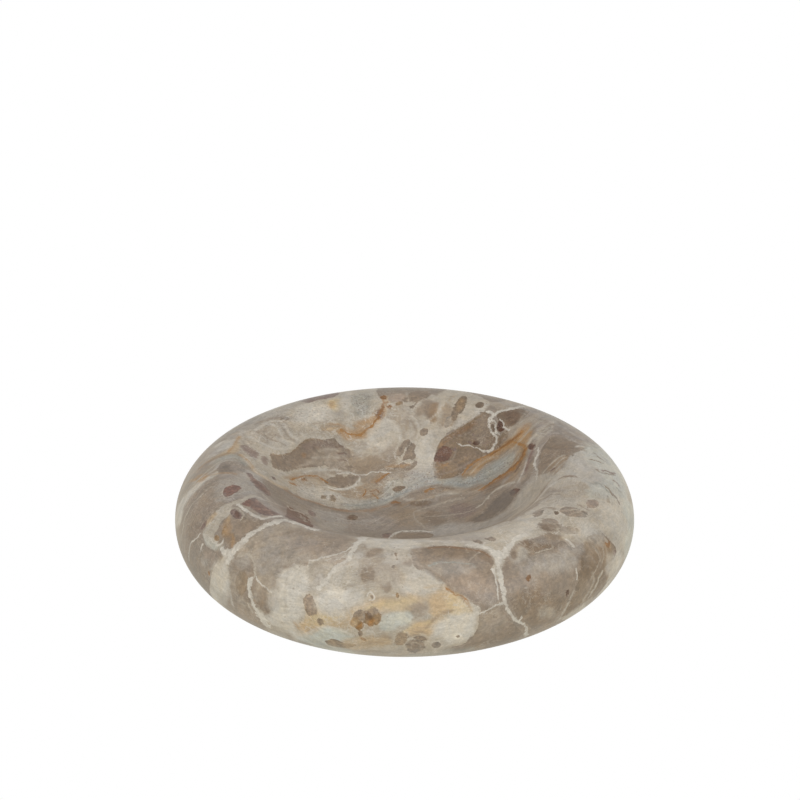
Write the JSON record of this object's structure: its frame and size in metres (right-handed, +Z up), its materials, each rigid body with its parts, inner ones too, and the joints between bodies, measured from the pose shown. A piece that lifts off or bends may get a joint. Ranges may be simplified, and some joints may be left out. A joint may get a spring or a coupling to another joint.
{
  "type": "decorative bowl",
  "caption": "Round decorative bowl turned from one block of veined stone: a thick rounded rim around a shallow dish, standing on felt pads.",
  "frame": {"origin": "centre of the bowl, at table height under the felt pads", "axes": "+Z up, along the axis the bowl is turned about; +Y away from the picture's camera"},
  "size_m": [0.3, 0.3, 0.075],
  "materials": {
    "honed_stone": "honed",
    "grey_felt": "pressed wool felt"
  },
  "bodies": {
    "root": {"stone_bowl": "honed_stone", "felt_pad_1": "grey_felt", "felt_pad_2": "grey_felt", "felt_pad_3": "grey_felt", "felt_pad_4": "grey_felt"}
  },
  "joints": []
}
